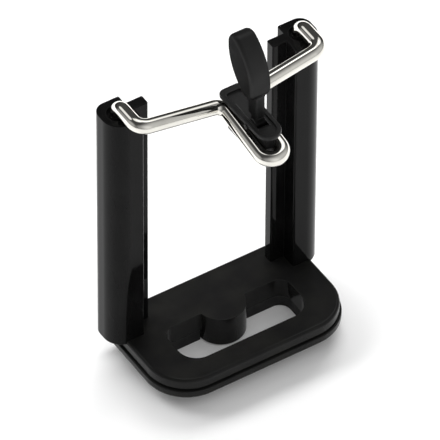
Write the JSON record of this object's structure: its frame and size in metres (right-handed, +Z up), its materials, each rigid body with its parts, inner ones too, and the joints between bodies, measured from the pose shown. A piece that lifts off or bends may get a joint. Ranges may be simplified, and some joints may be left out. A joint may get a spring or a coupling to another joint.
{
  "type": "phone holder",
  "caption": "Phone holder with a slotted black base, upright rails and a sprung chrome wire bail that slides up to grip a phone on edge, with a tripod thread below.",
  "frame": {"origin": "on the tripod thread's axis, at the underside that stands on the table", "axes": "+Z up along the rails, +X to the right and -Y to the front, where the phone is put in"},
  "size_m": [0.047, 0.0285, 0.0835],
  "materials": {
    "base_plastic": "gloss",
    "foot_rubber": "matt",
    "insert_brass": "satin",
    "rail_plastic": "high gloss",
    "plug_plastic": "matt",
    "bail_chrome": "bright",
    "small_steel": "satin",
    "shoe_plastic": "satin",
    "tab_plastic": "satin"
  },
  "bodies": {
    "holder": {"base": "base_plastic", "foot_pad": "foot_rubber", "tripod_insert": "insert_brass", "rail_left": "rail_plastic", "rail_right": "rail_plastic", "rail_plug_left": "plug_plastic", "rail_plug_right": "plug_plastic", "spring_left": "small_steel", "spring_right": "small_steel"},
    "bail": {"bail": "bail_chrome", "stop_collar_left": "small_steel", "stop_collar_right": "small_steel", "shoe": "shoe_plastic", "tab_pin": "small_steel"},
    "tab": {"thumb_tab": "tab_plastic"}
  },
  "joints": [
    {"name": "bail_slide", "type": "slide", "parent": "holder", "child": "bail", "axis": [0, 0, 1], "range_m": [0, 0.03], "stiffness_N_per_m": 200, "springref_m": -0.01, "deforming": ["spring_left", "spring_right"]},
    {"name": "tab_hinge", "type": "hinge", "parent": "bail", "child": "tab", "pos_m": [0, -0.0122, 0.06495], "axis": [1, 0, 0], "range_deg": [-30, 45]}
  ]
}
